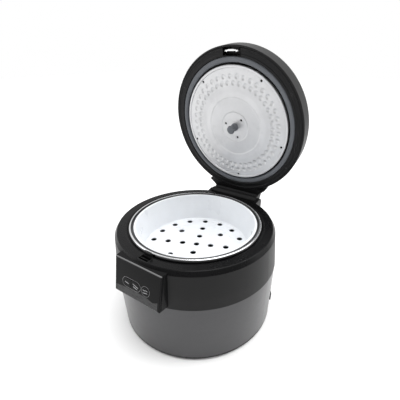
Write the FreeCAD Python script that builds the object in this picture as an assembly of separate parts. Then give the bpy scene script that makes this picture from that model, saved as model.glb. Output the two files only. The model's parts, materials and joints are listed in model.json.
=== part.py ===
import FreeCAD, Part
import math
import os

# Rice cooker with a hinged lid, shown lid open. Millimetres, +Z up.
# Origin: body axis at the resting plane. Control panel faces -Y, hinge at +Y.
os.makedirs("parts", exist_ok=True)
V = FreeCAD.Vector
UP = V(0, 0, 1)

# ---------------------------------------------------------------- driving dimensions
FOOT_H = 3.0                 # the rubber foot ring lifts the base tray
WALL_R = 135.5               # sheet metal lower wall, outside
WALL_T = 1.2
BAND_LOW_R, BAND_LOW_Z = 135.7, 112.4
EDGE_R, EDGE_Z = 130.0, 168.0        # top edge of the band
DECK_R, DECK_Z = 125.5, 174.7        # outer crease of the deck
WELL_R = 109.6               # opening that takes the pot flange
LEDGE_Z = 172.2

POT_TOP, POT_FLANGE_R = 177.2, 108.2
POT_R, POT_T = 101.0, 2.0
POT_FLOOR_Z = 52.0
STEP_Z = 174.6               # step that carries the steamer basket

BASKET_TOP, BASKET_R = 176.5, 100.3
BASKET_FLOOR_Z, BASKET_FLOOR_R, BASKET_T = 128.8, 88.0, 1.6
HOLE_R = 5.0
HOLE_RINGS = ((24.9, 4, 22.5), (51.3, 8, 22.5), (77.7, 16, 0.0))   # radius, count, start angle

LINER_R = 111.5              # aluminium well around the pot
LINER_FLOOR_Z = 30.0
PLATE_TOP = 51.7             # heating plate

OPEN_DEG = 80.6              # lid opening angle
HINGE_Y, HINGE_Z = 131.9, 170.3
BARREL_R, PIN_R, PIN_HALF = 7.8, 2.5, 52.4
BARREL_HALF, CHEEK_HALF = 47.5, 54.0
BRACKET_SCREW_X, BRACKET_SCREW_Z = (-49.0, 49.0), 152.0

LID_Z = 177.75               # lid's lower face when closed
LID_R, LID_TOP_R = 120.3, 119.3
LID_WALL_H, LID_T = 27.0, 2.5
GASKET_OUT, GASKET_IN = 105.3, 97.6
INNER_R = 94.5               # detachable inner lid

PANEL_HALF = 42.5
PANEL_TOP = (-132.7, 171.3)          # y, z of the panel face's top edge
PANEL_LOW = (-145.3, 116.5)
PANEL_SCREW_X, PANEL_SCREW_Z = (-30.0, 30.0), 140.0


# ---------------------------------------------------------------- helpers
def ring(pts, a0=0.0, a1=360.0):
    """Revolve a closed (r, z) profile about Z."""
    w = Part.makePolygon([V(r, 0, z) for r, z in pts] + [V(pts[0][0], 0, pts[0][1])])
    s = Part.Face(w).revolve(V(0, 0, 0), UP, a1 - a0)
    if a0:
        s.rotate(V(0, 0, 0), UP, a0)
    return s


def box(x0, x1, y0, y1, z0, z1):
    return Part.makeBox(x1 - x0, y1 - y0, z1 - z0, V(x0, y0, z0))


def cyl(r, z0, z1, x=0.0, y=0.0):
    return Part.makeCylinder(r, z1 - z0, V(x, y, z0), UP)


def tube(ro, ri, z0, z1, x=0.0, y=0.0):
    return cyl(ro, z0, z1, x, y).cut(cyl(ri, z0 - 1, z1 + 1, x, y))


def rod_x(r, x0, x1, y, z):
    return Part.makeCylinder(r, x1 - x0, V(x0, y, z), V(1, 0, 0))


def fuse(shapes):
    out = shapes[0]
    if len(shapes) > 1:
        out = out.multiFuse(shapes[1:])
    return out.removeSplitter()


def polar(r, deg):
    return r * math.cos(math.radians(deg)), r * math.sin(math.radians(deg))


def slab(profile_yz, x0, x1):
    """Prism along X from a closed (y, z) outline."""
    pts = [V(x0, y, z) for y, z in profile_yz]
    return Part.Face(Part.makePolygon(pts + [pts[0]])).extrude(V(x1 - x0, 0, 0))


def prism(outline_xy, z0, z1):
    pts = [V(x, y, z0) for x, y in outline_xy]
    return Part.Face(Part.makePolygon(pts + [pts[0]])).extrude(V(0, 0, z1 - z0))


def pill(w, h, z0, z1, r=None):
    """Flat block with rounded ends, centred on the origin in XY."""
    r = (min(w, h) / 2.0 if r is None else r) - 0.001
    b = box(-w / 2.0, w / 2.0, -h / 2.0, h / 2.0, z0, z1)
    return b.makeFillet(r, [e for e in b.Edges if abs(e.tangentAt(e.FirstParameter).z) > 0.9])


def coil(r, wire_r, z0, z1, turns, x=0.0, y=0.0):
    """Round wire coil standing on z0. Each half turn is a tilted half ring, tangent to the next."""
    rise = (z1 - z0 - 2 * wire_r) / (2.0 * turns)
    halves = []
    for k in range(2 * turns):
        side = 1 if k % 2 == 0 else -1
        z = z0 + wire_r + k * rise
        disc = Part.Face(Part.Wire(Part.makeCircle(wire_r, V(side * r, 0, z), V(0, 1, 0))))
        axis = V(-2.0 * side * r, 0, rise).cross(V(0, side, 0)).multiply(-1)
        halves.append(disc.revolve(V(0, 0, z + rise / 2.0), axis, 180))
    s = fuse(halves)
    s.translate(V(x, y, 0))
    return s


def screw(x, y, z_head, length, head_r=4.0, head_h=2.4, r=1.9, down=True):
    """Pan head screw with a cross recess; the shank points down or up."""
    s = cyl(head_r, 0, head_h).fuse(cyl(r, -length, 0))
    s = s.cut(box(-head_r * .55, head_r * .55, -.5, .5, head_h - 1.2, head_h + 1))
    s = s.cut(box(-.5, .5, -head_r * .55, head_r * .55, head_h - 1.2, head_h + 1))
    if not down:
        s.rotate(V(0, 0, 0), V(1, 0, 0), 180)
    s.translate(V(x, y, z_head))
    return s


def opened(shape):
    """Turn a piece drawn with the lid closed into its place with the lid open."""
    s = shape.copy()
    s.rotate(V(0, HINGE_Y, HINGE_Z), V(1, 0, 0), -OPEN_DEG)
    return s


def save(name, shape):
    if shape.ShapeType == "Compound" and len(shape.Solids) == 1:
        shape = shape.Solids[0]
    shape.exportStep("parts/" + name + ".step")


# ---------------------------------------------------------------- panel frame
P0 = V(0, PANEL_TOP[0], PANEL_TOP[1])
P_DOWN = V(0, PANEL_LOW[0] - PANEL_TOP[0], PANEL_LOW[1] - PANEL_TOP[1])
PANEL_LEN = P_DOWN.Length
P_DOWN.normalize()
P_OUT = P_DOWN.cross(V(1, 0, 0)).multiply(-1)
if P_OUT.y > 0:
    P_OUT = P_OUT.multiply(-1)


def on_panel(shape, u, v, lift=0.0):
    """Place a shape drawn flat (z = outward) at u across and v down the panel face."""
    m = FreeCAD.Matrix(1, 0, 0, 0, 0, -P_DOWN.y, P_OUT.y, 0, 0, -P_DOWN.z, P_OUT.z, 0)
    s = shape.copy()
    s.transformShape(m, True)
    p = P0 + V(u, 0, 0) + P_DOWN * v + P_OUT * lift
    s.translate(p)
    return s


# ---------------------------------------------------------------- outer body
POST_R, POSTS = 122.0, (15.0, 165.0, 215.0, 325.0)
FOOT_IN, FOOT_OUT = 126.8, 131.8
INLET_DEG, INLET_Z = 33.0, 18.5


def base_tray():
    t = ring([(0, FOOT_H), (133.5, FOOT_H), (WALL_R, FOOT_H + 2), (WALL_R, 8), (134.1, 8), (134.1, 24),
              (131.8, 24), (131.8, 6), (0, 6)])
    for a in POSTS:
        x, y = polar(POST_R, a)
        t = t.fuse(cyl(6.0, 6, 12, x, y)).cut(cyl(2.1, 0, 20, x, y)).cut(cyl(4.6, 2, 7.5, x, y))
    for row, r in ((0, 40.0), (1, 54.0), (2, 68.0)):
        for k in range(8 + 4 * row):
            slot = pill(12, 3, 2, 8)
            slot.translate(V(r, 0, 0))
            slot.rotate(V(0, 0, 0), UP, 360.0 * (k + 0.5) / (8 + 4 * row))
            t = t.cut(slot)
    for x, y in BOARD_POSTS:
        t = t.fuse(tube(3.0, 1.2, 6, 13, x, y))
    return t.cut(inlet_window(0.15))


BOARD_POSTS = ((-86, -22), (-86, 22), (-26, -22), (-26, 22))


def inlet_window(gap):
    w = box(100, 140, -13.5 - gap, 13.5 + gap, INLET_Z - 8 - gap, INLET_Z + 8 + gap)
    w.rotate(V(0, 0, 0), UP, INLET_DEG)
    return w


def lower_shell():
    s = ring([(WALL_R, 8), (WALL_R, BAND_LOW_Z), (WALL_R - WALL_T, BAND_LOW_Z), (WALL_R - WALL_T, 8)])
    return s.cut(inlet_window(0.15))


def band_outer(z):
    return EDGE_R + (BAND_LOW_R - EDGE_R) * (EDGE_Z - z) / (EDGE_Z - BAND_LOW_Z)


def hinge_gap(extra=0.0):
    return box(-CHEEK_HALF - extra, CHEEK_HALF + extra, 113 - extra, 150, 148 - extra, 190)


def upper_band():
    t = 2.5
    s = ring([(EDGE_R - 0.6, EDGE_Z), (EDGE_R, EDGE_Z - 0.6), (BAND_LOW_R, BAND_LOW_Z), (134.1, BAND_LOW_Z),
              (134.1, BAND_LOW_Z - 6), (131.6, BAND_LOW_Z - 6), (131.6, BAND_LOW_Z + 2),
              (BAND_LOW_R - t - .4, BAND_LOW_Z + 4), (EDGE_R - t, EDGE_Z)])
    s = s.cut(box(-34, 34, -140, -110, 123, 160))
    s = s.cut(hinge_gap())
    for x in PANEL_SCREW_X:
        s = s.cut(Part.makeCylinder(1.7, 30, V(x, -145, PANEL_SCREW_Z), V(0, 1, 0)))
    return s


def deck_collar():
    s = ring([(EDGE_R, EDGE_Z), (DECK_R + 0.7, DECK_Z - 0.7), (DECK_R - 0.4, DECK_Z), (113.0, DECK_Z - 0.6),
              (WELL_R + 0.6, DECK_Z - 1.4), (WELL_R, DECK_Z - 2.0), (WELL_R, LEDGE_Z), (105.2, LEDGE_Z),
              (105.2, 169.8), (125.0, 169.8), (125.0, 160), (127.2, 160), (127.2, EDGE_Z)])
    s = s.cut(hinge_gap())
    s = s.cut(latch_window(0.0))
    for a in POSTS:
        x, y = polar(POST_R, a)
        s = s.fuse(cyl(4.6, 12, 170, x, y)).cut(cyl(1.95, 10, 40, x, y))
    for x in BRACKET_SCREW_X:
        s = s.cut(Part.makeCylinder(1.7, 20, V(x, 100, BRACKET_SCREW_Z), V(0, 1, 0)))
    return s


def latch_window(gap):
    a = box(-7.5 - gap, 7.5 + gap, -113, -104, 160, 180)
    b = box(-10 - gap, 10 + gap, -124 - gap, -112, 160, 180)
    return a.fuse(b)


def foot_ring():
    """Rubber ring the cooker stands on."""
    i, o = FOOT_IN, FOOT_OUT
    return ring([(i + .8, 0), (o - .8, 0), (o, .8), (o, FOOT_H), (i, FOOT_H), (i, .8)])


def base_screws():
    return Part.makeCompound([screw(*polar(POST_R, a), 7.5, 22, head_h=2.2, down=False) for a in POSTS])


# ---------------------------------------------------------------- latch at the front of the deck
def latch_cup():
    """Pocket insert let into the deck, with the raised hook that the lid's catch grips."""
    floor = box(-9.9, 9.9, -123.9, -112.5, 164, 165.6)
    sides = [box(x, x + 1.4, -123.9, -112.5, 164, 174.2) for x in (-9.9, 8.5)]
    front = box(-9.9, 9.9, -123.9, -122.5, 164, 174.2)
    step = box(-9.9, 9.9, -118.6, -117.4, 164, 173.4)
    back = box(-7.4, 7.4, -112.9, -111.7, 164, 173.6).fuse(box(-7.4, 7.4, -112.9, -109.7, 170, 173.6))
    hook = slab([(-111.9, 173), (-111.9, 179.5), (-113.4, 179.9), (-113.4, 180.5), (-111.6, 181.0),
                 (-109.9, 181.0), (-109.9, 173)], -6.2, 6.2)
    ribs = [box(x, x + 1.3, -111.9, -109.9, 173, 179.4) for x in (-6.9, 5.6)]
    return fuse([floor, front, step, back, hook] + sides + ribs)


# ---------------------------------------------------------------- control panel
KEY_GAP = 0.35
PILL_U, PILL_W, PILL_H, KEY_V = -10.0, 33.0, 14.0, 33.2
OVAL_U, OVAL_W = 16.5, 13.4
OVERLAY_T, KEY_PROUD, KEY_TRAVEL = 1.0, 0.7, 0.8
OVERLAY_HALF, OVERLAY_V0 = 41.0, 2.8
OVERLAY_EDGE = ((41, 42.0), (38.5, 41.0), (34, 43.2), (29.4, 44.8), (21.9, 42.4), (7, 41.2), (-22.4, 42.4),
                (-41, 44.5))         # u, v along the overlay's lower edge


def panel_block():
    """Block on the front of the band: leaning face, rounded rim, sides flaring into the band."""
    (y0, z0), (y1, z1) = PANEL_TOP, PANEL_LOW
    back, side = -100.0, PANEL_HALF + 1.5
    outline = [(-PANEL_HALF, y0), (PANEL_HALF, y0), (PANEL_HALF, -128), (side, -113), (side, back),
               (-side, back), (-side, -113), (-PANEL_HALF, -128)]
    pts = [V(x, y, z0) for x, y in outline]
    col = Part.Face(Part.makePolygon(pts + [pts[0]])).extrude(V(0, y1 - y0, z1 - z0))
    col = col.makeFillet(1.5, [e for e in col.Edges if abs(e.tangentAt(e.FirstParameter).z) > 0.9 and
                               abs(abs(e.CenterOfMass.x) - PANEL_HALF) < 0.1 and e.CenterOfMass.y < -136])
    lean = slab([(y0, z0), (y1, z1), (back, z1), (back, z0)], -side - 1, side + 1)
    rims = [e for e in lean.Edges if abs(e.CenterOfMass.x) < 1 and e.CenterOfMass.y < -130]
    lean = lean.makeFillet(2.0, rims)
    col = col.fuse(box(-side, side, -118, back, z1, z0))
    return col.common(lean).removeSplitter()


def body_cone(grow=0.0):
    return ring([(0, 100), (BAND_LOW_R + 1.2 + grow, 100), (band_outer(112.4) + grow, 112.4),
                 (EDGE_R + grow, EDGE_Z), (DECK_R + .7 + grow, DECK_Z - .7), (0, DECK_Z - .7)])


def key_windows(z0, z1):
    """Openings for the keys: the long pill and the round-ended one."""
    return (on_panel(pill(PILL_W + 2 * KEY_GAP, PILL_H + 2 * KEY_GAP, z0, z1), PILL_U, KEY_V),
            on_panel(pill(OVAL_W + 2 * KEY_GAP, PILL_H + 2 * KEY_GAP, z0, z1), OVAL_U, KEY_V))


def screw_post(x, r):
    """Round post behind the panel's face, along Y, for one of the panel's screws."""
    return Part.makeCylinder(r, 20, V(x, -139, PANEL_SCREW_Z), V(0, 1, 0))


def panel_housing():
    h = panel_block()
    inner = slab([(-131.2, 168.3), (-142.0, 119.5), (-100, 119.5), (-100, 168.3)], -38, 38)
    h = h.cut(inner).cut(body_cone(0.05))
    for x in PANEL_SCREW_X:
        post = screw_post(x, PANEL_POST_R).cut(body_cone(0.05))
        h = h.fuse(post.common(panel_block()))
        h = h.cut(Part.makeCylinder(1.2, 14, V(x, -136.5, PANEL_SCREW_Z), V(0, 1, 0)))
    # recess for the glossy overlay, open windows for the keys
    h = h.cut(panel_overlay_blank(0.1))
    for w in key_windows(-8, 1):
        h = h.cut(w)
    return max(h.Solids, key=lambda q: q.Volume)


def panel_overlay_blank(gap):
    """Outline of the overlay: its lower edge rises to the middle and dips near the right end."""
    pts = [(-OVERLAY_HALF - gap, gap - OVERLAY_V0), (OVERLAY_HALF + gap, gap - OVERLAY_V0)]
    pts += [(u + (gap if u > 39 else -gap if u < -39 else 0), -v - gap) for u, v in OVERLAY_EDGE]
    return on_panel(prism(pts, -OVERLAY_T - gap, 0.6 if gap else 0.0), 0, 0)


def panel_overlay():
    o = panel_overlay_blank(0.0)
    for w in key_windows(-4, 2):
        o = o.cut(w)
    return o


def keys():
    """Left and middle keys share one long pill, split down the middle; the right key stands alone."""
    low, split = -3.4, 0.25
    pill_long = pill(PILL_W, PILL_H, low, KEY_PROUD)
    left = pill_long.cut(box(-split, 40, -20, 20, low - 1, 5))
    middle = pill_long.cut(box(-40, split, -20, 20, low - 1, 5))
    right = pill(OVAL_W, PILL_H, low, KEY_PROUD)
    out = []
    for s, u in ((left, PILL_U), (middle, PILL_U), (right, OVAL_U)):
        top = [e for e in s.Edges if abs(e.CenterOfMass.z - KEY_PROUD) < 0.01]
        s = s.makeFillet(0.45, top).Solids[0]
        s = s.fuse(cyl(1.6, low - 1, low + 0.1, s.CenterOfMass.x, 0)).removeSplitter()
        out.append(on_panel(s, u, KEY_V))
    return out


BOARD_LIFT, PANEL_POST_R = -8.6, 3.4


def control_board():
    b = pill(70, 30, BOARD_LIFT, BOARD_LIFT + 1.6, 1.5)
    b = b.fuse(box(-30, -22, -11, -6, BOARD_LIFT - 3, BOARD_LIFT))
    b = b.fuse(box(4, 16, -12, -4, BOARD_LIFT - 2, BOARD_LIFT))
    b = on_panel(b.removeSplitter(), 0, KEY_V)
    for x in PANEL_SCREW_X:
        b = b.cut(screw_post(x, PANEL_POST_R + 0.4))
    return b


def key_switches():
    out = []
    for u in (PILL_U - 8.2, PILL_U + 8.2, OVAL_U):
        z = BOARD_LIFT + 1.6
        s = box(-3, 3, -3, 3, z, z + 1.5).fuse(cyl(1.5, z + 1.5, -4.4 - KEY_TRAVEL - 0.1))
        out.append(on_panel(s.removeSplitter(), u, KEY_V))
    return Part.makeCompound(out)


def panel_screws():
    out = []
    for x in PANEL_SCREW_X:
        s = screw(0, 0, 0, 6, head_r=3.0, head_h=2.0, r=1.15)
        s.rotate(V(0, 0, 0), V(1, 0, 0), -90)
        s.translate(V(x, band_back(PANEL_SCREW_Z), PANEL_SCREW_Z))
        out.append(s)
    return Part.makeCompound(out)


def band_back(z):
    """Y of the band's inner face just behind the panel screws."""
    r = EDGE_R - 2.5 + (BAND_LOW_R - 2.9 - EDGE_R + 2.5) * (EDGE_Z - z) / (EDGE_Z - BAND_LOW_Z - 4)
    return -math.sqrt((r - 0.25) ** 2 - 33.0 ** 2) + 0.9


# ---------------------------------------------------------------- heating
def inner_liner():
    s = ring([(LINER_R, LINER_FLOOR_Z), (LINER_R, 169.7), (LINER_R - 0.8, 169.7),
              (LINER_R - 0.8, LINER_FLOOR_Z + 0.8), (20, LINER_FLOOR_Z + 0.8), (20, LINER_FLOOR_Z)])
    return s


def heating_plate():
    s = ring([(17, 44), (76, 44), (80, 47), (80, 50.2), (78.5, PLATE_TOP), (17, PLATE_TOP)])
    groove = Part.makeTorus(60, 4.15, V(0, 0, 42), UP)
    return s.cut(groove)


def heater_tube():
    """Sheathed element under the plate, with a cold pin at each end."""
    gap, r, z = 9.0, 4.0, 42.0
    face = Part.Face(Part.Wire(Part.makeCircle(r, V(60, 0, z), V(0, 1, 0))))
    s = face.revolve(V(0, 0, 0), UP, 360 - 2 * gap)
    s.rotate(V(0, 0, 0), UP, gap)
    pins = [cyl(1.8, 31.2, z, *polar(60, a)) for a in (gap + 3, -gap - 3)]
    return fuse([s] + pins)


def plate_posts():
    return Part.makeCompound([cyl(4.0, 30.8, 44, *polar(71, a)) for a in (90, 210, 330)])


def sensor_housing():
    return ring([(0, 30.8), (22, 30.8), (22, 32.4), (12.2, 32.4), (12.2, 45.5), (10.8, 45.5), (10.8, 32.4),
                 (0, 32.4)])


def sensor_cap():
    return ring([(0, 49.8), (14.0, 49.8), (14.0, 42.5), (15.4, 42.5), (15.4, 51.2), (14.7, 51.9), (0, 51.9)])


def sensor_spring():
    return coil(8.5, 0.7, 32.45, 49.75, 5)


def thermal_fuse():
    body = Part.makeCylinder(2.4, 14, V(-7, 52, 28), V(1, 0, 0))
    clip = box(-5, 5, 49, 55, 29.6, 30).fuse(box(-1.5, 1.5, 49, 49.8, 25, 30))
    return fuse([body, clip]).cut(box(-20, 20, 40, 70, 30, 60))


def power_board():
    b = box(-92, -20, -28, 28, 13, 14.6)
    parts = [box(-86, -66, -14, 4, 14.6, 27), cyl(5, 14.6, 27, -56, -16), cyl(4, 14.6, 25, -44, -18),
             box(-54, -34, 2, 18, 14.6, 26), box(-84, -72, 10, 18, 14.6, 22)]
    b = fuse([b] + parts)
    for x, y in BOARD_POSTS:
        b = b.cut(cyl(1.3, 10, 30, x, y))
    return b


def board_screws():
    return Part.makeCompound([screw(x, y, 14.6, 5.5, head_r=2.4, head_h=1.6, r=1.15) for x, y in BOARD_POSTS])


def power_inlet():
    """Three-pin inlet socket let into the wall low at the rear right."""
    c = box(112.6, 136.2, -13.4, 13.4, INLET_Z - 7.9, INLET_Z + 7.9)
    edges = [e for e in c.Edges if abs(e.tangentAt(e.FirstParameter).x) > 0.9]
    c = c.makeFillet(2.5, edges)
    f = box(133.0, 138.4, -16.5, 16.5, INLET_Z - 9.6, INLET_Z + 9.6)
    edges = [e for e in f.Edges if abs(e.tangentAt(e.FirstParameter).x) > 0.9]
    f = f.makeFillet(3.5, edges)
    s = c.fuse(f.cut(cyl(WALL_R + 0.05, 0, 60)))
    s = s.cut(box(118, 140, -10.8, 10.8, INLET_Z - 5.6, INLET_Z + 5.6))
    s.rotate(V(0, 0, 0), UP, INLET_DEG)
    return s.cut(inlet_pins()).removeSplitter()


def inlet_pins():
    out = []
    for y, z in ((-6.5, -1.2), (6.5, -1.2), (0, 2.2)):
        p = box(109.5, 130, y - 1.0, y + 1.0, INLET_Z + z - 2, INLET_Z + z + 2)
        p.rotate(V(0, 0, 0), UP, INLET_DEG)
        out.append(p)
    return Part.makeCompound(out)


# ---------------------------------------------------------------- hinge on the body
def hinge_bracket():
    y0, y1, z0 = 113.05, 142.0, 148.05
    blk = slab([(y0, z0), (y0, 171.5), (124, 173.0), (128, 174.4), (135.5, 174.4), (y1 - 1, 171), (y1, 167),
                (y1, 155), (y1 - 6, z0)], -CHEEK_HALF + 0.05, CHEEK_HALF - 0.05)
    corners = [e for e in blk.Edges if abs(e.tangentAt(e.FirstParameter).x) < .1 and e.CenterOfMass.y > 123
               and e.CenterOfMass.z > 160]
    blk = blk.makeFillet(1.8, corners)
    trough = rod_x(BARREL_R + 0.6, -BARREL_HALF - .6, BARREL_HALF + .6, HINGE_Y, HINGE_Z)
    above = box(-BARREL_HALF - .6, BARREL_HALF + .6, HINGE_Y - BARREL_R - .6, 160, HINGE_Z, 200)
    rear = box(-BARREL_HALF - .6, BARREL_HALF + .6, HINGE_Y, 160, HINGE_Z - BARREL_R - 0.6, 200)
    front = box(-BARREL_HALF - .6, BARREL_HALF + .6, 116, HINGE_Y, HINGE_Z - 0.5, 200)
    s = blk.cut(fuse([trough, above, rear, front]))
    s = s.cut(box(-44, 44, 116.5, 133, 140, 159))
    s = s.cut(rod_x(PIN_R, -PIN_HALF - .1, PIN_HALF + .1, HINGE_Y, HINGE_Z))
    for x in BRACKET_SCREW_X:
        s = s.cut(Part.makeCylinder(1.2, 12, V(x, 110, BRACKET_SCREW_Z), V(0, 1, 0)))
    return s


def hinge_pin():
    return rod_x(PIN_R, -PIN_HALF, PIN_HALF, HINGE_Y, HINGE_Z)


def lid_springs():
    out = []
    for sx in (-1, 1):
        c = coil(4.3, 0.8, 0, 16, 8)
        c.rotate(V(0, 0, 0), V(0, 1, 0), 90 * sx)
        c.translate(V(sx * 20, HINGE_Y, HINGE_Z))
        out.append(c)
    return Part.makeCompound(out)


def bracket_screws():
    out = []
    for x in BRACKET_SCREW_X:
        s = screw(0, 0, 0, 8, head_r=3.0, head_h=2.0, r=1.15)
        s.rotate(V(0, 0, 0), V(1, 0, 0), 90)
        s.translate(V(x, 112.95, BRACKET_SCREW_Z))
        out.append(s)
    return Part.makeCompound(out)


# ---------------------------------------------------------------- pot and steamer basket
def inner_pot():
    ri = POT_R - POT_T
    pts = [(0, POT_FLOOR_Z), (82, POT_FLOOR_Z), (92, 55), (98, 61), (POT_R, 72), (POT_R, 171.4),
           (POT_R + 1.2, LEDGE_Z + .05), (POT_FLANGE_R - .6, LEDGE_Z + .05), (POT_FLANGE_R, LEDGE_Z + .8),
           (POT_FLANGE_R, POT_TOP - 3.4), (POT_FLANGE_R - .4, POT_TOP - 2.1),
           (POT_FLANGE_R - 1.1, POT_TOP - 1.0), (POT_FLANGE_R - 2.0, POT_TOP - .25),
           (POT_FLANGE_R - 3.0, POT_TOP), (POT_FLANGE_R - 4.0, POT_TOP - .25),
           (103.5, POT_TOP - 1.0), (103.2, POT_TOP - 2.0), (103.1, STEP_Z), (ri, STEP_Z), (ri, 72.6),
           (96.4, 62.4), (91, 57), (81.6, POT_FLOOR_Z + POT_T), (0, POT_FLOOR_Z + POT_T)]
    return ring(pts)


def steamer_basket():
    t = BASKET_T
    zf = BASKET_FLOOR_Z
    pts = [(0, zf - t), (BASKET_FLOOR_R - 1.5, zf - t), (BASKET_FLOOR_R + 1.6, zf + .6), (97.6, STEP_Z - 3),
           (98.3, STEP_Z + .05), (BASKET_R - .3, STEP_Z + .05), (BASKET_R, STEP_Z + .6),
           (BASKET_R - .3, BASKET_TOP - .5), (BASKET_R - 1.2, BASKET_TOP), (97.5, BASKET_TOP),
           (96.6, BASKET_TOP - .9), (95.9, STEP_Z - 3), (BASKET_FLOOR_R + .1, zf + 2.2),
           (BASKET_FLOOR_R - 2.4, zf), (66.2, zf), (65.4, zf + .5), (64.0, zf + .5), (63.2, zf),
           (39.2, zf), (38.4, zf + .5), (37, zf + .5), (36.2, zf), (0, zf)]
    s = ring(pts)
    holes = [cyl(HOLE_R, zf - 5, zf + 5)]
    for r, n, a0 in HOLE_RINGS:
        holes += [cyl(HOLE_R, zf - 5, zf + 5, *polar(r, a0 + 360.0 * k / n)) for k in range(n)]
    return s.cut(Part.makeCompound(holes))


# ---------------------------------------------------------------- lid, drawn closed
VENT_Y, VENT_R = 52.0, 21.0
BUTTON_Y, BUTTON_W, BUTTON_L = -92.0, 34.0, 18.0
ROOF = 12.0                  # depth of the recess over the inner lid


def lz(d):
    return LID_Z + d


def lid_outer_shell():
    t = LID_T
    s = ring([(LID_R - 1.1, lz(.2)), (LID_R - .35, lz(.5)), (LID_R, lz(1.2)),
              (LID_TOP_R, lz(LID_WALL_H - 3)),
              (LID_TOP_R - 1.4, lz(LID_WALL_H)), (LID_TOP_R - 5, lz(30.2)), (LID_TOP_R - 12, lz(32.2)),
              (80, lz(34.4)), (40, lz(35.6)), (0, lz(36)),
              (0, lz(36 - t)), (40, lz(35.6 - t)), (80, lz(34.4 - t)), (LID_TOP_R - 12.4, lz(32.2 - t)),
              (LID_TOP_R - 6.4, lz(30.4 - t)), (LID_TOP_R - t - .6, lz(LID_WALL_H - 3)), (LID_R - t, lz(3)),
              (LID_R - t, lz(0.2))])
    s = s.fuse(lid_arm_solid())
    # steam vent seat and release button opening
    s = s.cut(cyl(VENT_R + 0.4, lz(28), lz(40), 0, VENT_Y))
    cup = tube(VENT_R + 2.4, VENT_R + 0.4, lz(24), lz(33.2), 0, VENT_Y).fuse(
        tube(VENT_R + 2.4, 6.0, lz(24), lz(26), 0, VENT_Y))
    s = s.fuse(cup)
    b = pill(BUTTON_W + .7, BUTTON_L + .7, lz(20), lz(40), 6)
    b.translate(V(0, BUTTON_Y, 0))
    s = s.cut(b)
    for a in LID_SCREW_DEG:
        x, y = polar(SCREW_R, a)
        s = s.fuse(cyl(3.6, lz(3.0), lz(SCREW_POST_H), x, y)).cut(cyl(1.25, lz(0), lz(16), x, y))
    return s.removeSplitter()


SCREW_R, LID_SCREW_DEG = 112.0, (30.0, 150.0, 212.0, 328.0)
SCREW_POST_H = 29.0          # the posts run up into the roof without breaking through it


def lid_arm_solid():
    """Arm behind the lid: wide at the shell, narrowing to the hinge barrel."""
    hy, hz, r = HINGE_Y, HINGE_Z, BARREL_R
    body = slab([(112, lz(0.8)), (124.5, lz(0.8)), (hy - 4, hz + 3), (hy, hz), (hy + r, hz),
                 (hy + r, hz + 3), (hy + 5.0, hz + 14), (118.5, lz(21)), (112, lz(21))], -70, 70)
    plan = prism([(-70, 90), (70, 90), (66, 106), (59, 113), (52, 119.5),
                  (BARREL_HALF + .8, 123), (BARREL_HALF, 124), (BARREL_HALF, 150), (-BARREL_HALF, 150),
                  (-BARREL_HALF, 124), (-BARREL_HALF - .8, 123), (-52, 119.5), (-59, 113),
                  (-66, 106)], 100, 300)
    room = ring([(0, lz(-1)), (LID_R - LID_T + 0.2, lz(-1)), (LID_TOP_R - LID_T - .4, lz(28)), (0, lz(28))])
    arm = body.common(plan).cut(room)
    barrel = rod_x(r, -BARREL_HALF, BARREL_HALF, hy, hz)
    arm = arm.fuse(barrel)
    arm = arm.cut(rod_x(PIN_R + 0.06, -60, 60, hy, hz))
    for sx in (-1, 1):
        x0, x1 = sorted((sx * 18.5, sx * 38.5))
        arm = arm.cut(rod_x(5.9, x0, x1, hy, hz))
    return arm


def lid_liner():
    ro = LID_R - LID_T - 0.15
    s = ring([(ro, lz(0.9)), (ro, lz(2.9)), (108.2, lz(2.9)), (108.2, lz(ROOF + 2)), (0, lz(ROOF + 2)),
              (0, lz(ROOF)), (GASKET_OUT + .2, lz(ROOF)), (GASKET_OUT + .2, lz(1.2)), (106.4, lz(0.1)),
              (109, lz(0.1)), (109.8, lz(0.6)), (114.2, lz(0.6)), (115, lz(0)), (116.8, lz(0))])
    pocket = lid_pocket(0)
    s = s.cut(pocket)
    walls = box(-17.0, 17.0, -119.0, -104.0, lz(1), lz(14)).cut(lid_pocket(0)).common(
        cyl(ro - 1.0, lz(0), lz(30))).cut(cyl(GASKET_OUT + .2, lz(-1), lz(ROOF)))
    s = s.fuse(walls)
    for x in (-STEM_X - STEM_W, STEM_X):
        s = s.cut(box(x - .4, x + STEM_W + .4, STEM_Y0 - CATCH_TRAVEL - .4, STEM_Y1 + .4, lz(11), lz(15)))
    s = s.fuse(cyl(7.0, lz(6.5), lz(ROOF + .1))).cut(cyl(4.4, lz(0), lz(ROOF - 1)))
    s = s.cut(cyl(7.2, lz(5), lz(30), 0, VENT_Y))
    for a in LID_SCREW_DEG:
        x, y = polar(SCREW_R, a)
        s = s.cut(cyl(1.6, lz(-2), lz(20), x, y)).cut(cyl(3.7, lz(2.89), lz(20), x, y))
    return max(s.removeSplitter().Solids, key=lambda q: q.Volume)


def lid_pocket(grow):
    return box(-15 - grow, 15 + grow, -117.2 - grow, -106.2 + grow, lz(-3), lz(12))


def lid_gasket():
    """Soft seal around the inner lid: rounded nose, with a lip held in the liner."""
    return ring([(GASKET_IN, lz(2.6)), (98.4, lz(1.4)), (100, lz(.7)), (102, lz(.45)), (104.2, lz(.7)),
                 (GASKET_OUT, lz(1.6)), (GASKET_OUT, lz(ROOF - .1)), (103.6, lz(ROOF - .1)),
                 (103.6, lz(3.4)),
                 (100.6, lz(3.2)), (98.6, lz(4.0)), (98.2, lz(6.4)), (GASKET_IN, lz(6.4))])


def lid_screws():
    out = []
    for a in LID_SCREW_DEG:
        x, y = polar(SCREW_R, a)
        out.append(screw(x, y, lz(0.55), 9, head_r=2.1, head_h=0.5, r=1.2, down=False))
    return Part.makeCompound(out)


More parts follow.
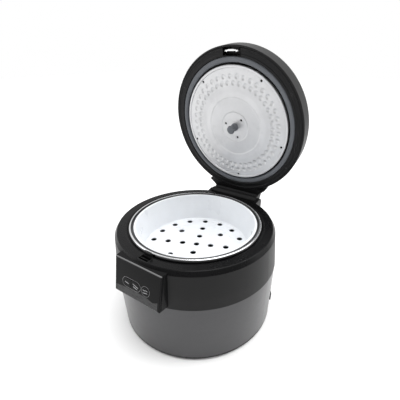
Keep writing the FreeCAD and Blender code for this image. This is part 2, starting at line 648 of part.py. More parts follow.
DIMPLES = ((79.0, 42, 0.7), (69.2, 42, -3.8))          # radius, count, start angle
DIMPLE_R, DIMPLE_DEPTH = 4.0, 1.1
PLATE_HOLES, PLATE_HOLE_R = ((88.3, 5, 14.8), (17.8, 3, -45.3)), 1.9


def inner_lid_plate():
    z = lz
    s = ring([(0, z(2.6)), (24, z(2.6)), (26, z(2.1)), (47, z(2.1)), (49, z(1.7)), (84, z(1.7)),
              (90.4, z(1.5)), (91.2, z(.3)), (93.6, z(0.15)), (INNER_R, z(1.0)), (INNER_R, z(6.5)),
              (INNER_R - 1, z(6.5)),
              (INNER_R - 1, z(1.6)), (92.0, z(1.4)), (91.0, z(2.5)), (84, z(2.7)), (49.5, z(2.7)),
              (47.5, z(3.1)), (26.5, z(3.1)), (24.5, z(3.6)), (0, z(3.6))])
    cuts = [cyl(3.05, z(-5), z(9))]
    for r, n, a0 in PLATE_HOLES:
        cuts += [cyl(PLATE_HOLE_R, z(-2), z(8), *polar(r, a0 + 360.0 * k / n)) for k in range(n)]
    bumps = []
    ball = (DIMPLE_R ** 2 + DIMPLE_DEPTH ** 2) / (2 * DIMPLE_DEPTH)
    centre = z(1.7 + DIMPLE_DEPTH - ball)
    for r, n, a0 in DIMPLES:
        for k in range(n):
            x, y = polar(r, a0 + 360.0 * k / n)
            inside, outside = (Part.makeSphere(r1, V(x, y, centre)) for r1 in (ball, ball + 1))
            cuts.append(inside.common(cyl(DIMPLE_R + .3, z(1.3), z(4), x, y)))
            bumps.append(outside.common(cyl(DIMPLE_R + .6, z(2.2), z(5), x, y)))
    return s.fuse(bumps).cut(Part.makeCompound(cuts))


def inner_lid_knob():
    """Rubber grommet: mushroom head outside, groove on the plate, bulb inside the liner's boss."""
    z = lz
    return ring([(0, z(-13.5)), (4.6, z(-13.5)), (6.6, z(-12.3)), (7.0, z(-10.8)), (6.2, z(-9.4)),
                 (4.4, z(-8.4)), (4.3, z(-6)), (4.9, z(-1.5)), (6.4, z(.4)), (6.7, z(2.55)), (3.0, z(2.55)),
                 (3.0, z(3.65)), (4.9, z(3.65)), (4.6, z(5.2)), (3.5, z(6.3)), (3.7, z(8.4)),
                 (4.05, z(9.2)), (3.2, z(10.5)),
                 (0, z(10.6))])


CATCH_Y0, CATCH_Y1, CATCH_HALF, CATCH_TRAVEL = -114.6, -110.3, 11.8, 2.5
STEM_X, STEM_W, STEM_Y0, STEM_Y1 = 7.9, 2.5, -113.6, -111.6


def lid_catch():
    """Bar across the lid's pocket, lens-shaped from the front, hung on two stems."""
    bow = 34.0
    lens = box(-CATCH_HALF, CATCH_HALF, CATCH_Y0, CATCH_Y1, lz(0.1), lz(1.5))
    for y in (CATCH_Y0 + bow, CATCH_Y1 - bow):
        lens = lens.common(cyl(bow, lz(0.1), lz(1.5), 0, y))
    lens = lens.cut(box(-7.2, 7.2, -112.2, -109, lz(-1), lz(2)))
    stems = [box(x, x + STEM_W, STEM_Y0, STEM_Y1, lz(1.0), lz(16.5)) for x in (-STEM_X - STEM_W, STEM_X)]
    yoke = box(-STEM_X - STEM_W, STEM_X + STEM_W, STEM_Y0, STEM_Y1, lz(14.8), lz(16.5))
    return fuse([lens] + stems + [yoke])


def release_button():
    s = pill(BUTTON_W, BUTTON_L, lz(27.5), lz(34.6), 5.7)
    top = [e for e in s.Edges if abs(e.CenterOfMass.z - lz(34.6)) < 0.01]
    s = s.makeFillet(1.2, top)
    s = s.cut(pill(BUTTON_W - 3, BUTTON_L - 3, lz(20), lz(32.6), 4.2))
    s = s.fuse(cyl(2.2, lz(22.5), lz(33)))
    s.translate(V(0, BUTTON_Y, 0))
    return s.removeSplitter()


def button_spring():
    return coil(3.6, 0.5, lz(14.2), lz(29.4), 6, 0, BUTTON_Y)


def steam_vent_cap():
    r = VENT_R - 0.1
    s = ring([(0, lz(26.4)), (5.4, lz(26.4)), (5.4, lz(27.4)), (18.6, lz(27.4)), (18.6, lz(33.2)),
              (r, lz(33.2)), (r, lz(36.6)), (r - 1.5, lz(37.8)), (0, lz(38.4)), (0, lz(35.8)),
              (17, lz(35.6)), (17, lz(29)),
              (0, lz(29))])
    for k in range(6):
        slot = pill(11, 2.4, lz(30), lz(45))
        slot.translate(V(0, -10 + 4 * k, 0))
        s = s.cut(slot)
    for k in range(8):
        s = s.cut(cyl(1.6, lz(20), lz(30), *polar(11, 45 * k)))
    s.translate(V(0, VENT_Y, 0))
    return s.removeSplitter()


def vent_grommet():
    s = ring([(5.6, lz(ROOF - .8)), (8.4, lz(ROOF - .8)), (8.4, lz(ROOF - .05)), (7.1, lz(ROOF - .05)),
              (7.1, lz(ROOF + 2.05)), (8.4, lz(ROOF + 2.05)), (8.4, lz(23.9)), (5.9, lz(23.9)),
              (5.6, lz(23.0))])
    s.translate(V(0, VENT_Y, 0))
    return s


# ---------------------------------------------------------------- write every piece
BODY_PIECES = [base_tray, foot_ring, base_screws, lower_shell, upper_band, deck_collar, latch_cup,
               panel_housing, panel_overlay, control_board, key_switches, panel_screws, inner_liner,
               heating_plate, heater_tube, plate_posts, sensor_housing, sensor_cap, sensor_spring, thermal_fuse,
               power_board, board_screws, power_inlet, inlet_pins, hinge_bracket, hinge_pin, lid_springs,
               bracket_screws, inner_pot, steamer_basket]
LID_PIECES = [lid_outer_shell, lid_liner, lid_gasket, lid_screws, inner_lid_plate, inner_lid_knob, lid_catch,
              release_button, button_spring, steam_vent_cap, vent_grommet]

for piece in BODY_PIECES:
    save(piece.__name__, piece())
for name, shape in zip(("key_left", "key_middle", "key_right"), keys()):
    save(name, shape)
for piece in LID_PIECES:
    save(piece.__name__, opened(piece()))
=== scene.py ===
import json
import math

import bmesh
import bpy
from mathutils import Matrix, Vector


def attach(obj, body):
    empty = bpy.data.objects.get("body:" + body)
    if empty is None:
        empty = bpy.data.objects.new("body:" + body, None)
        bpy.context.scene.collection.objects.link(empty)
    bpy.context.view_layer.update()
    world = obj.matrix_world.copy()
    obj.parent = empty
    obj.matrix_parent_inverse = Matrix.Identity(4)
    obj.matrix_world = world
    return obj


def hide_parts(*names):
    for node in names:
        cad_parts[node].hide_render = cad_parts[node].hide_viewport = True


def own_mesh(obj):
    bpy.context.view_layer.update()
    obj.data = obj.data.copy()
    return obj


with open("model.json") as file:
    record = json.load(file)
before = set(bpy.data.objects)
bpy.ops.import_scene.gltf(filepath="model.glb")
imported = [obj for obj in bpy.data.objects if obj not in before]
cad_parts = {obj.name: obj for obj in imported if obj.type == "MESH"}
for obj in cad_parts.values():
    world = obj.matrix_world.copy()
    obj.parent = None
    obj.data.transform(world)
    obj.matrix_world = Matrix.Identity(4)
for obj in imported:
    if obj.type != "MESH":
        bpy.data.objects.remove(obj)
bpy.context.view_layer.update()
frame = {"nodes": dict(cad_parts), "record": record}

MM = 0.001
SOFT_EDGE = 0.2 * MM         # width over which two finishes of one piece meet
nodes, record = frame["nodes"], frame["record"]
slot_of = {s["node"]: s["material_slot"] for s in record["subparts"]}


# ------------------------------------------------------------------ node material kit
class Look:
    """One procedural material: a Principled surface with helpers that add its nodes."""

    def __init__(self, name, color, rough, metallic=0.0, specular=0.5):
        self.mat = bpy.data.materials.new(name)
        self.mat.use_nodes = True
        self.nt = self.mat.node_tree
        self.nt.nodes.clear()
        self.out = self.nt.nodes.new("ShaderNodeOutputMaterial")
        self.bsdf = self.nt.nodes.new("ShaderNodeBsdfPrincipled")
        self.nt.links.new(self.bsdf.outputs[0], self.out.inputs[0])
        self.bsdf.inputs["Metallic"].default_value = metallic
        self.bsdf.inputs["Specular IOR Level"].default_value = specular
        self.bsdf.inputs["Base Color"].default_value = (*color, 1)
        self.bsdf.inputs["Roughness"].default_value = rough
        self.coord = self.nt.nodes.new("ShaderNodeTexCoord").outputs["Object"]
        self.color, self.rough = None, None
        self.base_color = color
        self.height = None

    def node(self, kind, **props):
        n = self.nt.nodes.new(kind)
        for key, value in props.items():
            setattr(n, key, value)
        return n

    def link(self, a, b):
        self.nt.links.new(a, b)

    def scaled(self, stretch):
        m = self.node("ShaderNodeMapping")
        m.inputs["Scale"].default_value = stretch
        self.link(self.coord, m.inputs["Vector"])
        return m.outputs[0]

    def noise(self, scale, detail=4.0, roughness=0.55, stretch=(1, 1, 1)):
        n = self.node("ShaderNodeTexNoise")
        n.inputs["Scale"].default_value = scale
        n.inputs["Detail"].default_value = detail
        n.inputs["Roughness"].default_value = roughness
        source = self.scaled(stretch) if tuple(stretch) != (1, 1, 1) else self.coord
        self.link(source, n.inputs["Vector"])
        return self.remap(n.outputs["Fac"], 0.25, 0.75, 0.0, 1.0)

    def remap(self, value, a, b, c, d):
        m = self.node("ShaderNodeMapRange")
        for name, v in (("From Min", a), ("From Max", b), ("To Min", c), ("To Max", d)):
            m.inputs[name].default_value = v
        self.link(value, m.inputs["Value"])
        return m.outputs[0]

    def math(self, op, a, b=None):
        m = self.node("ShaderNodeMath", operation=op)
        for k, v in enumerate((a, b)):
            if v is None:
                continue
            if isinstance(v, (int, float)):
                m.inputs[k].default_value = v
            else:
                self.link(v, m.inputs[k])
        return m.outputs[0]

    def times(self, a, b):
        return self.math("MULTIPLY", a, b)

    def weigh(self, a, share_a, b, share_b):
        """Two maps added in the given shares."""
        return self.math("ADD", self.times(a, share_a), self.times(b, share_b))

    def below(self, value, limit):
        return self.remap(value, limit, limit + SOFT_EDGE, 1.0, 0.0)

    def above(self, value, limit):
        return self.remap(value, limit, limit + SOFT_EDGE, 0.0, 1.0)

    def xyz(self):
        """The three coordinates in the object's own axes, as separate outputs."""
        split = self.node("ShaderNodeSeparateXYZ")
        self.link(self.coord, split.inputs[0])
        return split.outputs

    def mix(self, factor, dark, light):
        m = self.node("ShaderNodeMix", data_type="RGBA")
        if isinstance(factor, (int, float)):
            m.inputs["Factor"].default_value = factor
        else:
            self.link(factor, m.inputs["Factor"])
        for key, v in (("A", dark), ("B", light)):
            sock = [s for s in m.inputs if s.name == key and s.type == "RGBA"][0]
            if isinstance(v, tuple):
                sock.default_value = (*v, 1)
            else:
                self.link(v, sock)
        return [s for s in m.outputs if s.type == "RGBA"][0]

    def tint(self, factor, other):
        """Blend the colour so far towards another colour by a factor map."""
        self.color = self.mix(factor, self.color or self.base_color, other)
        return self

    def vary(self, factor, low, high):
        """Colour varies between low and high times the base colour."""
        lo = tuple(c * low for c in self.base_color)
        hi = tuple(min(c * high, 1.0) for c in self.base_color)
        self.color = self.mix(factor, lo, hi)
        return self

    def rough_by(self, factor, low, high):
        self.rough = self.remap(factor, 0.0, 1.0, low, high)
        return self

    def bump(self, height, depth_mm, strength=1.0):
        b = self.node("ShaderNodeBump")
        b.inputs["Distance"].default_value = depth_mm * MM
        b.inputs["Strength"].default_value = strength
        self.link(height, b.inputs["Height"])
        if self.height is not None:
            self.link(self.height, b.inputs["Normal"])
        self.height = b.outputs[0]
        return self

    def bevel(self, radius_mm):
        """Light catches moulded edges over a small radius."""
        n = self.node("ShaderNodeBevel", samples=4)
        n.inputs["Radius"].default_value = radius_mm * MM
        self.height = n.outputs[0]
        return self

    def edge_mask(self):
        """1 on worn convex edges and corners, from the mesh itself."""
        g = self.node("ShaderNodeNewGeometry")
        return self.remap(g.outputs["Pointiness"], 0.52, 0.60, 0.0, 1.0)

    def done(self):
        if self.color is not None:
            self.link(self.color, self.bsdf.inputs["Base Color"])
        if self.rough is not None:
            self.link(self.rough, self.bsdf.inputs["Roughness"])
        if self.height is not None:
            self.link(self.height, self.bsdf.inputs["Normal"])
        return self.mat


def moulded(name, color, rough, specular, grain_mm=0.012, bevel=0.35, wear=0.10):
    """Injection-moulded plastic: fine spark-eroded grain, faint flow tone, slightly polished edges."""
    m = Look(name, color, rough, specular=specular)
    m.bevel(bevel)
    broad = m.noise(14, 3)
    fine = m.noise(2600, 2)
    dust = m.noise(420, 5, 0.7)
    m.vary(broad, 0.85, 1.18)
    m.tint(m.remap(dust, 0.82, 1.0, 0.0, wear), tuple(min(1, c * 2.2 + 0.02) for c in color))
    m.tint(m.times(m.edge_mask(), wear * 2), tuple(min(1, c * 2.5 + 0.02) for c in color))
    m.rough_by(m.weigh(broad, 0.6, dust, 0.4),
               rough - 0.05, rough + 0.07)
    m.bump(fine, grain_mm)
    m.bump(broad, 0.05, 0.3)
    return m.done()


def glossy(name, color, rough, specular):
    """Clear-faced film or polished moulding with faint wiping marks and orange peel."""
    m = Look(name, color, rough, specular=specular)
    m.bevel(0.25)
    wipe = m.noise(90, 4, 0.6, (1, 1, 6))
    peel = m.noise(260, 2)
    m.vary(m.noise(30, 3), 0.9, 1.15)
    m.rough_by(wipe, rough - 0.03, rough + 0.08)
    m.bump(peel, 0.006)
    return m.done()


def panel_frame(name):
    """Black gloss housing with a plain grey strip low on its face and a painted highlight along its
    rounded top edge.
    """
    m = Look(name, (0.0032, 0.0032, 0.0035), 0.16, specular=0.10)
    m.bevel(0.4)
    x, y, z = m.xyz()
    wide, low = m.below(m.math("ABSOLUTE", x), STRIP_HALF), m.below(z, STRIP_Z)
    front = m.remap(y, STRIP_Y - SOFT_EDGE, STRIP_Y, 1.0, 0.0)
    strip = m.times(m.times(wide, low), front)
    m.vary(m.noise(24, 3), 0.9, 1.15)
    m.tint(strip, m.mix(m.noise(60, 4), (0.046, 0.046, 0.047), (0.058, 0.058, 0.059)))
    # painted highlight: a lighter grey band along the panel's rounded top edge, in front of its top face
    top_highlight = m.remap(z, HIGHLIGHT_Z, HIGHLIGHT_Z + HIGHLIGHT_FADE, 0.0, 1.0)
    ahead = m.remap(y, HIGHLIGHT_Y - HIGHLIGHT_FADE / 2, HIGHLIGHT_Y, 1.0, 0.0)
    m.tint(m.times(m.times(top_highlight, ahead), m.remap(m.noise(40, 3), 0, 1, 0.75, 1.0)),
           (0.17, 0.17, 0.172))
    m.rough = m.math("ADD", m.remap(m.noise(90, 4, 0.6, (1, 1, 6)), 0, 1, 0.12, 0.20),
                     m.times(strip, 0.12))
    m.bump(m.noise(260, 2), 0.006)
    return m.done()


def rubber(name, color, rough):
    m = Look(name, color, rough, specular=0.35)
    m.bevel(0.3)
    broad, fine, dust = m.noise(35, 4), m.noise(1500, 3), m.noise(300, 5, 0.7)
    m.vary(broad, 0.88, 1.12)
    m.tint(m.remap(dust, 0.7, 1.0, 0.0, 0.16), tuple(min(1, c * 1.5 + 0.05) for c in color))
    m.rough_by(dust, rough - 0.08, rough + 0.08)
    m.bump(fine, 0.012)
    m.bump(broad, 0.08, 0.3)
    m.bsdf.inputs["Sheen Weight"].default_value = 0.08
    return m.done()


def metal(name, color, rough, stretch=(1, 1, 1), grain=0.01, metallic=1.0, specks=0.12):
    """Plain metal: drawn or brushed grain along one direction, blotches, fine specks."""
    m = Look(name, color, rough, metallic=metallic)
    m.bevel(0.3)
    hair = m.noise(900, 3, 0.6, stretch)
    blot = m.noise(26, 5, 0.6)
    spots = m.noise(330, 4, 0.75)
    m.vary(m.weigh(hair, 0.45, blot, 0.55), 0.9, 1.06)
    m.tint(m.remap(spots, 0.78, 1.0, 0.0, specks), tuple(c * 0.55 for c in color))
    m.rough_by(m.weigh(blot, 0.7, hair, 0.3), rough - 0.05, rough + 0.08)
    m.bump(hair, grain)
    return m.done()


def circuit(name):
    """Green solder mask over copper tracks, with tinned pads."""
    m = Look(name, (0.02, 0.12, 0.05), 0.35, specular=0.5)
    brick = m.node("ShaderNodeTexBrick")
    for key, v in (("Scale", 160.0), ("Mortar Size", 0.12), ("Brick Width", 1.6), ("Row Height", 0.7)):
        brick.inputs[key].default_value = v
    m.link(m.coord, brick.inputs["Vector"])
    m.vary(m.noise(60, 3), 0.85, 1.2)
    m.tint(m.times(brick.outputs["Fac"], 0.5), (0.05, 0.24, 0.10))
    cell = m.node("ShaderNodeTexVoronoi")
    cell.inputs["Scale"].default_value = 240
    m.link(m.coord, cell.inputs["Vector"])
    m.tint(m.remap(cell.outputs["Distance"], 0.14, 0.10, 0.0, 0.9), (0.6, 0.6, 0.58))
    m.bump(brick.outputs["Fac"], 0.03)
    m.rough_by(m.noise(200, 3), 0.28, 0.45)
    return m.done()


def lacquer(name):
    """Metallic grey lacquer baked on rolled sheet: tiny flakes under a clear coat, faint rolling lines."""
    m = Look(name, (0.056, 0.056, 0.058), 0.32, metallic=0.92)
    flakes = m.node("ShaderNodeTexVoronoi")
    flakes.inputs["Scale"].default_value = 2600
    m.link(m.coord, flakes.inputs["Vector"])
    sparkle = m.remap(flakes.outputs["Distance"], 0.0, 0.7, 1.0, 0.0)
    roll = m.noise(260, 3, 0.6, (0.06, 0.06, 5))
    cloud = m.noise(9, 3)
    m.vary(m.weigh(roll, 0.35, cloud, 0.65), 0.90, 1.10)
    m.tint(m.times(sparkle, 0.18), (0.14, 0.14, 0.145))
    scuff = m.noise(70, 6, 0.7, (1, 1, 3))
    m.tint(m.remap(scuff, 0.86, 1.0, 0.0, 0.25), (0.14, 0.14, 0.145))
    m.rough_by(m.weigh(scuff, 0.5, cloud, 0.5), 0.29, 0.42)
    m.bump(sparkle, 0.004, 0.5)
    m.bump(roll, 0.010, 0.6)
    m.bsdf.inputs["Coat Weight"].default_value = 0.25
    m.bsdf.inputs["Coat Roughness"].default_value = 0.18
    return m.done()


def pressed_lid(name):
    """Satin anodised sheet, spun marks round its centre, a few dull water stains."""
    m = Look(name, (0.60, 0.602, 0.61), 0.40, metallic=0.78)
    m.bevel(0.3)
    blot, stain = m.noise(22, 5, 0.6), m.noise(38, 6, 0.7)
    fine = m.noise(1400, 3)
    m.vary(blot, 0.86, 1.07)
    shift = m.node("ShaderNodeVectorMath", operation="DISTANCE")
    m.link(m.coord, shift.inputs[0])
    shift.inputs[1].default_value = PLATE_CENTRE
    far = m.math("ADD", shift.outputs["Value"], m.times(m.noise(30, 4), ZONE_WAVER))
    for inner, outer, depth in SPUN_ZONES:
        zone = m.times(m.remap(far, inner * MM, inner * MM + ZONE_FADE, 0.0, 1.0),
                       m.remap(far, outer * MM - ZONE_FADE, outer * MM, depth, 0.0))
        m.tint(zone, (0.40, 0.405, 0.415))
    m.tint(m.remap(stain, 0.66, 0.95, 0.0, 0.34), (0.42, 0.425, 0.435))
    m.tint(m.remap(fine, 0.80, 1.0, 0.0, 0.12), (0.38, 0.38, 0.39))
    m.rough_by(m.weigh(blot, 0.5, stain, 0.5), 0.34, 0.50)
    m.bump(fine, 0.010)
    m.bump(blot, 0.10, 0.3)
    return m.done()


def coated_pot(name):
    """Aluminium pot: turned bright rim and satin outside, dark speckled non-stick coat on the inside,
    painted shade on the flange top around the bright crest.
    """
    m = Look(name, (0.74, 0.745, 0.755), 0.20, metallic=1.0)
    m.bevel(0.3)
    turned, blot = m.noise(900, 3, 0.6, (0.15, 0.15, 6)), m.noise(26, 5, 0.6)
    m.vary(m.weigh(turned, 0.5, blot, 0.5), 0.9, 1.06)
    x, y, z = m.xyz()
    flat = m.node("ShaderNodeCombineXYZ")
    m.link(x, flat.inputs[0])
    m.link(y, flat.inputs[1])
    length = m.node("ShaderNodeVectorMath", operation="LENGTH")
    m.link(flat.outputs[0], length.inputs[0])
    r = length.outputs["Value"]
    bore = m.times(m.below(r, POT_COAT_R), m.above(z, POT_COAT_Z))
    step = m.times(m.below(r, STEP_COAT_R), m.above(z, STEP_COAT_Z))
    coat = m.math("MAXIMUM", bore, step)
    bare = m.math("SUBTRACT", 1.0, coat)
    top = m.remap(z, STEP_COAT_Z - TOP_FADE, STEP_COAT_Z, 0.0, 1.0)
    painted_shade_off_crest = m.math("MAXIMUM", m.remap(r, CREST_IN, CREST_IN + CREST_FADE, 1.0, 0.0),
                       m.remap(r, CREST_OUT - CREST_FADE, CREST_OUT, 0.0, 1.0))
    # painted shade: the flange top off the bright crest is darkened as the gap and recess in shadow
    m.tint(m.times(top, painted_shade_off_crest), (0.09, 0.09, 0.092))
    fleck = m.remap(m.noise(900, 4, 0.8), 0.78, 0.9, 0.0, 1.0)
    m.tint(coat, m.mix(m.times(fleck, 0.4), (0.018, 0.018, 0.019), (0.16, 0.16, 0.165)))
    shine = m.remap(m.weigh(blot, 0.7, turned, 0.3), 0, 1, 0.16, 0.28)
    wall = m.remap(z, SATIN_Z, SATIN_Z + SATIN_FADE, 1.0, 0.0)
    m.tint(m.times(wall, bare), (0.46, 0.465, 0.475))
    dull = m.math("MAXIMUM", m.times(coat, 0.25), m.times(wall, 0.22))
    m.rough = m.math("ADD", shine, dull)
    m.link(bare, m.bsdf.inputs["Metallic"])
    m.bump(turned, 0.006)
    return m.done()


def white_moulding(name):
    m = Look(name, (0.78, 0.80, 0.825), 0.30, specular=0.4)
    m.bevel(0.45)
    blot, fine = m.noise(30, 4), m.noise(1800, 2)
    m.vary(blot, 0.97, 1.03)
    m.tint(m.remap(m.noise(55, 6, 0.7), 0.75, 1.0, 0.0, 0.25), (0.58, 0.58, 0.56))
    m.rough_by(blot, 0.25, 0.38)
    m.bump(fine, 0.008)
    m.bsdf.inputs["Subsurface Weight"].default_value = 0.06
    m.bsdf.inputs["Subsurface Radius"].default_value = (0.004, 0.0035, 0.003)
    return m.done()


def ink(name, color):
    m = Look(name, color, 0.45)
    m.vary(m.noise(700, 4, 0.7), 0.75, 1.1)
    m.rough_by(m.noise(300, 3), 0.38, 0.55)
    m.bump(m.noise(1600, 2), 0.004)
    return m.done()


POT_COAT_R, POT_COAT_Z = 99.4 * MM, 53.2 * MM       # the coat covers the bore and floor inside
STEP_COAT_R, STEP_COAT_Z = 103.7 * MM, 173.5 * MM   # and the step that carries the steamer basket
PLATE_CENTRE = (0.0, 119.7 * MM, 302.0 * MM)        # middle of the detachable inner lid, lid open
SPUN_ZONES = ((26, 50, 0.22), (58, 74, 0.16))       # from, to, strength of the duller rings, mm
ZONE_WAVER, ZONE_FADE = 4 * MM, 3 * MM
STRIP_HALF, STRIP_Z, STRIP_Y = 38.5 * MM, 133.0 * MM, -138.0 * MM   # grey strip at the panel's foot
HIGHLIGHT_Z, HIGHLIGHT_Y, HIGHLIGHT_FADE = 169.9 * MM, -131.0 * MM, 0.8 * MM   # painted highlight: lighter grey band along the panel's rounded top edge
CREST_IN, CREST_OUT = 104.3 * MM, 107.0 * MM        # bright turned crest of the pot's flange; the flange top either side of it carries painted shade
TOP_FADE, CREST_FADE = 1.5 * MM, 0.4 * MM
SATIN_Z, SATIN_FADE = 170.5 * MM, 1.0 * MM          # satin wall of the pot, below its flange

LOOKS = {
    "black_plastic": moulded("black_plastic", (0.0045, 0.0045, 0.0048), 0.42, 0.20),
    "deck_plastic": moulded("deck_plastic", (0.0035, 0.0035, 0.0038), 0.27, 0.11, 0.008, wear=0.06),
    "wall_metal": lacquer("wall_metal"),
    "overlay_gloss": glossy("overlay_gloss", (0.0025, 0.0025, 0.0028), 0.12, 0.085),
    "panel_grey": panel_frame("panel_grey"),
    "key_gloss": glossy("key_gloss", (0.003, 0.003, 0.0034), 0.16, 0.09),
    "steel": metal("steel", (0.62, 0.62, 0.63), 0.30, (1, 1, 8)),
    "brass": metal("brass", (0.78, 0.60, 0.30), 0.28, (8, 1, 1)),
    "aluminium": metal("aluminium", (0.74, 0.745, 0.75), 0.38, (1, 1, 6)),
    "lid_alu": pressed_lid("lid_alu"),
    "pot_metal": coated_pot("pot_metal"),
    "white_plastic": white_moulding("white_plastic"),
    "seal_rubber": rubber("seal_rubber", (0.105, 0.112, 0.124), 0.48),
    "black_rubber": rubber("black_rubber", (0.010, 0.010, 0.010), 0.62),
    "pcb": circuit("pcb"),
    "catch_metal": metal("catch_metal", (0.78, 0.79, 0.79), 0.24, (6, 1, 1), grain=0.004, specks=0.05),
}
INK = ink("pale_ink", (0.36, 0.36, 0.37))
INK_DIM = ink("dim_ink", (0.20, 0.20, 0.205))

BLACK_STEEL = metal("black_steel", (0.012, 0.012, 0.013), 0.42, (1, 1, 6), metallic=0.3)

for name, obj in nodes.items():
    obj.data.materials.clear()
    obj.data.materials.append(BLACK_STEEL if name == "lid_screws" else LOOKS[slot_of[name]])


# ------------------------------------------------------------------ meshes in code
def new_object(name, bm, material, body):
    bmesh.ops.recalc_face_normals(bm, faces=bm.faces)
    mesh = bpy.data.meshes.new(name)
    bm.to_mesh(mesh)
    bm.free()
    obj = bpy.data.objects.new(name, mesh)
    bpy.context.scene.collection.objects.link(obj)
    mesh.materials.append(material)
    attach(obj, body)
    return obj


# the control panel's own axes: u across, v down the face, lift outwards
PANEL_TOP, PANEL_LOW = Vector((0, -132.7, 171.3)), Vector((0, -145.3, 116.5))
DOWN = (PANEL_LOW - PANEL_TOP).normalized()
OUT = Vector((1, 0, 0)).cross(DOWN)
if OUT.y > 0:
    OUT = -OUT


def on_panel(u, v, lift):
    return (PANEL_TOP + Vector((u, 0, 0)) + DOWN * v + OUT * lift) * MM


def ribbon(bm, line, width, lift, closed, thick=0.06):
    """Printed line of even width: a low closed strip that follows points (u, v)."""
    n = len(line)
    rails = []
    for k, (u, v) in enumerate(line):
        a = line[(k - 1) % n] if closed or k else line[k]
        b = line[(k + 1) % n] if closed or k < n - 1 else line[k]
        t = Vector((b[0] - a[0], b[1] - a[1])).normalized()
        side = Vector((-t.y, t.x)) * width / 2.0
        p, q = Vector((u, v)) + side, Vector((u, v)) - side
        rails.append([bm.verts.new(on_panel(w.x, w.y, h)) for w, h in
                      ((p, lift), (p, lift + thick), (q, lift + thick), (q, lift))])
    for k in range(n if closed else n - 1):
        a, b = rails[k], rails[(k + 1) % n]
        for i in range(4):
            bm.faces.new((a[i], a[(i + 1) % 4], b[(i + 1) % 4], b[i]))
    if not closed:
        bm.faces.new(rails[0])
        bm.faces.new(rails[-1][::-1])


def stadium(cu, cv, w, h, steps=14):
    """Outline of a pill standing w wide and h high about (cu, cv)."""
    r = min(w, h) / 2.0
    sx, sy = w / 2.0 - r, h / 2.0 - r
    pts = []
    for quarter, (ox, oy) in enumerate(((sx, sy), (-sx, sy), (-sx, -sy), (sx, -sy))):
        for k in range(steps + 1):
            a = math.radians(90.0 * quarter + 90.0 * k / steps)
            p = (cu + ox + r * math.cos(a), cv + oy + r * math.sin(a))
            if not pts or math.hypot(p[0] - pts[-1][0], p[1] - pts[-1][1]) > 1e-6:
                pts.append(p)
    if math.hypot(pts[0][0] - pts[-1][0], pts[0][1] - pts[-1][1]) < 1e-6:
        pts.pop()
    return pts


PILL_U, PILL_W, PILL_H, KEY_V, KEY_GAP = -10.0, 33.0, 14.0, 33.2, 0.35
OVAL_U, OVAL_W, KEY_PROUD = 16.5, 13.4, 0.7
RIM, LIFT = 0.55, 0.01

bm = bmesh.new()
for cu, w in ((PILL_U, PILL_W), (OVAL_U, OVAL_W)):
    grow = 2 * KEY_GAP + RIM + 0.1
    ribbon(bm, stadium(cu, KEY_V, w + grow, PILL_H + grow), RIM, LIFT, True)
new_object("key_outlines", bm, INK_DIM, "base")


def wave(u0, u1, v, swing, count=24):
    turns = [k / count for k in range(count + 1)]
    return [(u0 + (u1 - u0) * t, v + swing * math.sin(2 * math.pi * t)) for t in turns]


# plain strokes on the keys: body, width, lines as points (u, v)
MARKS = {
    "key_left_mark": ("key_l", 1.0, [[(-21.6, 32.9), (-14.6, 34.1)]]),
    "key_middle_mark": ("key_m", 1.0, [[(-6.6, 30.9), (3.6, 33.6)], [(-5.6, 34.5), (2.2, 36.6)]]),
    "key_right_mark": ("key_r", 0.9, [wave(12.4, 20.6, v, 0.55) for v in (31.3, 35.2)]),
}
MARK_THICK = 0.05
for name, (body, width, lines) in MARKS.items():
    bm = bmesh.new()
    for line in lines:
        ribbon(bm, line, width, KEY_PROUD + LIFT, False, MARK_THICK)
    new_object(name, bm, INK, body)


# ------------------------------------------------------------------ thermostat spring under its cap
spring = bpy.data.objects.new("sensor_coil", nodes["sensor_spring"].data.copy())
bpy.context.scene.collection.objects.link(spring)
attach(spring, "base")
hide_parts("sensor_spring")
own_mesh(spring)


# ------------------------------------------------------------------ stage, light, camera
FLOOR_HALF, FLOOR_CELLS = 6.0, 24


def stage_floor():
    bm = bmesh.new()
    bmesh.ops.create_grid(bm, x_segments=FLOOR_CELLS, y_segments=FLOOR_CELLS, size=FLOOR_HALF)
    mesh = bpy.data.meshes.new("floor")
    bm.to_mesh(mesh)
    bm.free()
    floor = bpy.data.objects.new("floor", mesh)
    bpy.context.scene.collection.objects.link(floor)
    m = Look("floor_paper", (0.90, 0.90, 0.90), 0.75, specular=0.1)
    m.vary(m.noise(6, 3), 0.99, 1.01)
    m.bump(m.noise(900, 3), 0.01)
    mesh.materials.append(m.done())


stage_floor()
CAM_BACK_YAW, CAM_BACK_PITCH, CAM_ROLL = 33.48, 32.02, -0.12
CAM_POS = Vector((239.8, -322.5, 410.6)) * MM
FOCAL_PX, AXIS_PX, IMAGE_PX, SENSOR_MM = 281.9, (209.14, 228.71), 400.0, 36.0

FRONT_SKY, BACK_SKY, SKY_FROM, SKY_TO = 0.50, 1.0, -0.6, 0.5     # brighter behind the object


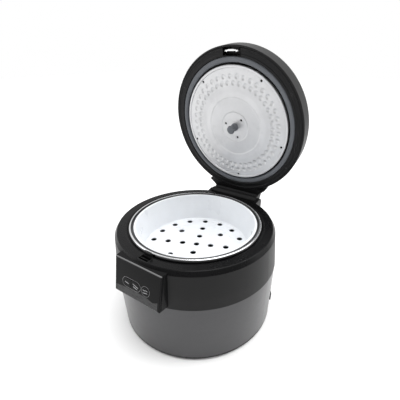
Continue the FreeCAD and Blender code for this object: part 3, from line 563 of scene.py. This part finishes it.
def studio_world():
    """White surroundings, dimmer on the camera's side of the room than behind the object."""
    world = bpy.data.worlds.new("studio")
    bpy.context.scene.world = world
    world.use_nodes = True
    nt = world.node_tree
    nt.nodes.clear()
    out = nt.nodes.new("ShaderNodeOutputWorld")
    bg = nt.nodes.new("ShaderNodeBackground")
    coord = nt.nodes.new("ShaderNodeTexCoord")
    dot = nt.nodes.new("ShaderNodeVectorMath")
    dot.operation = "DOT_PRODUCT"
    yaw = math.radians(CAM_BACK_YAW)
    dot.inputs[1].default_value = (-math.sin(yaw), math.cos(yaw), 0.0)
    ramp = nt.nodes.new("ShaderNodeMapRange")
    for key, v in (("From Min", SKY_FROM), ("From Max", SKY_TO),
                   ("To Min", FRONT_SKY), ("To Max", BACK_SKY)):
        ramp.inputs[key].default_value = v
    nt.links.new(coord.outputs["Generated"], dot.inputs[0])
    nt.links.new(dot.outputs["Value"], ramp.inputs["Value"])
    nt.links.new(ramp.outputs[0], bg.inputs["Strength"])
    bg.inputs["Color"].default_value = (1, 1, 1, 1)
    nt.links.new(bg.outputs[0], out.inputs[0])


studio_world()


def softbox(name, place, aim, size, power):
    light = bpy.data.lights.new(name, "AREA")
    light.shape = "RECTANGLE"
    light.size, light.size_y = size
    light.energy = power
    obj = bpy.data.objects.new(name, light)
    bpy.context.scene.collection.objects.link(obj)
    obj.location = place
    obj.rotation_euler = (Vector(aim) - Vector(place)).to_track_quat("-Z", "Y").to_euler()


# name, place, aim, size and watts of each softbox
CENTRE = (0.0, 0.0, 0.15)
softbox("softbox_left", (-1.5, -0.9, 0.9), CENTRE, (0.9, 1.3), 7)
softbox("softbox_right", (1.3, 0.9, 1.0), CENTRE, (0.8, 1.3), 9)
softbox("softbox_top", (0.1, -0.1, 1.9), (0, 0, 0.2), (1.1, 1.1), 9)
SUN_POWER, SUN_SPREAD, SUN_FROM = 1.7, 60.0, (0.25, 0.15, 1.0)
sun_data = bpy.data.lights.new("sky_sun", "SUN")
sun_data.energy, sun_data.angle = SUN_POWER, math.radians(SUN_SPREAD)
sun = bpy.data.objects.new("sky_sun", sun_data)
bpy.context.scene.collection.objects.link(sun)
sun.rotation_euler = Vector(SUN_FROM).to_track_quat("Z", "Y").to_euler()

cam_data = bpy.data.cameras.new("camera")
cam = bpy.data.objects.new("camera", cam_data)
bpy.context.scene.collection.objects.link(cam)
yaw, pitch, roll = (math.radians(a) for a in (CAM_BACK_YAW, CAM_BACK_PITCH, CAM_ROLL))
back = Vector((math.sin(yaw) * math.cos(pitch), -math.cos(yaw) * math.cos(pitch), math.sin(pitch)))
right = Vector((math.cos(yaw), math.sin(yaw), 0))
up = back.cross(right)
right, up = (right * math.cos(roll) + up * math.sin(roll), up * math.cos(roll) - right * math.sin(roll))
cam.matrix_world = Matrix.Translation(CAM_POS) @ Matrix((right, up, back)).transposed().to_4x4()
cam_data.sensor_width = SENSOR_MM
cam_data.lens = FOCAL_PX * SENSOR_MM / IMAGE_PX
cam_data.shift_x = (IMAGE_PX / 2 - AXIS_PX[0]) / IMAGE_PX
cam_data.shift_y = (AXIS_PX[1] - IMAGE_PX / 2) / IMAGE_PX
cam_data.clip_start = 0.01
bpy.context.scene.camera = cam
bpy.context.scene.view_settings.view_transform = "Standard"
